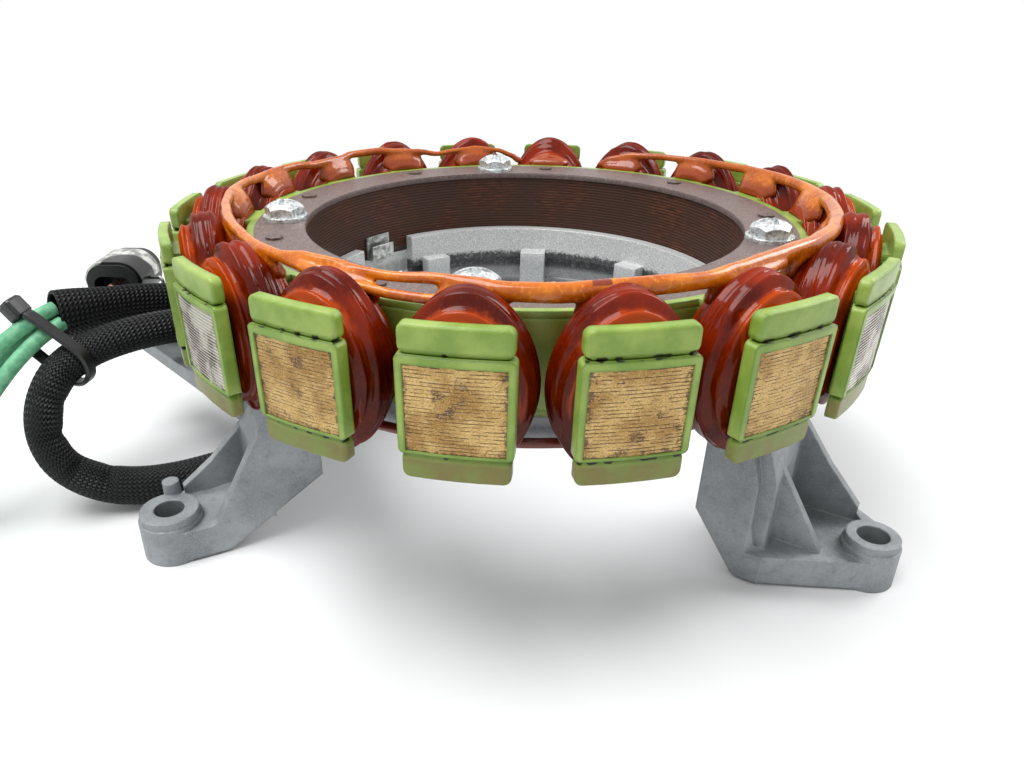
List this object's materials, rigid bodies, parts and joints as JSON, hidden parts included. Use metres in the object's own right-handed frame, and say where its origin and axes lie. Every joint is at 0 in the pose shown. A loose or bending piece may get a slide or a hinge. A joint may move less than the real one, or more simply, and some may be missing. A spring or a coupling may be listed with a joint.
{
  "type": "wound stator",
  "caption": "Wound stator with outward poles, lacquered coils and a ring of leads on a cast bracket with feet and a side arm.",
  "frame": {"origin": "in the mounting plane under the feet, on the axis of the stator bore", "axes": "+Z along the bore axis, away from the mounting plane; pole 6 of the stack points along +X"},
  "size_m": [0.2848, 0.2208, 0.0914],
  "materials": {
    "casting": "satin grey cast surface, worn bright at the edges",
    "lamination_steel": "varnished lamination edges",
    "green_coat": "semi-gloss light green insulating coat",
    "varnish_orange": "thick glossy orange varnish",
    "varnish_red": "thick glossy dark red varnish over the windings",
    "rivet_steel": "varnished steel",
    "zinc": "mottled bright zinc",
    "clip_steel": "dull folded sheet",
    "black_rubber": "matt black rubber",
    "black_sleeve": "braided black sleeve",
    "green_wire": "matt pale green wire insulation",
    "black_nylon": "black nylon",
    "cover_steel": "bright sheet steel",
    "terminal_copper": "pinkish copper alloy"
  },
  "bodies": {
    "root": {"bottom_end_plate": "green_coat", "cable_tie": "black_nylon", "coil_01": "varnish_red", "coil_02": "varnish_red", "coil_03": "varnish_red", "coil_04": "varnish_red", "coil_05": "varnish_red", "coil_06": "varnish_red", "coil_07": "varnish_red", "coil_08": "varnish_red", "coil_09": "varnish_red", "coil_10": "varnish_red", "coil_11": "varnish_red", "coil_12": "varnish_red", "coil_13": "varnish_red", "coil_14": "varnish_red", "coil_15": "varnish_red", "coil_16": "varnish_red", "coil_17": "varnish_red", "coil_18": "varnish_red", "connector_bail": "cover_steel", "connector_body": "black_nylon", "connector_cover": "cover_steel", "connector_terminal": "terminal_copper", "core_rivets": "rivet_steel", "core_screws": "zinc", "core_stack": "lamination_steel", "crossover_wires": "varnish_red", "green_wire_1": "green_wire", "green_wire_2": "green_wire", "green_wire_3": "green_wire", "lead_clip": "clip_steel", "lead_grommet": "black_rubber", "lead_ring": "varnish_orange", "mounting_bracket": "casting", "screw_washers": "zinc", "sleeve_long": "black_sleeve", "sleeve_plug": "black_nylon", "sleeve_short": "black_sleeve", "slot_insulation": "green_coat", "top_end_plate": "green_coat", "wire_connector": "black_nylon"}
  },
  "joints": []
}
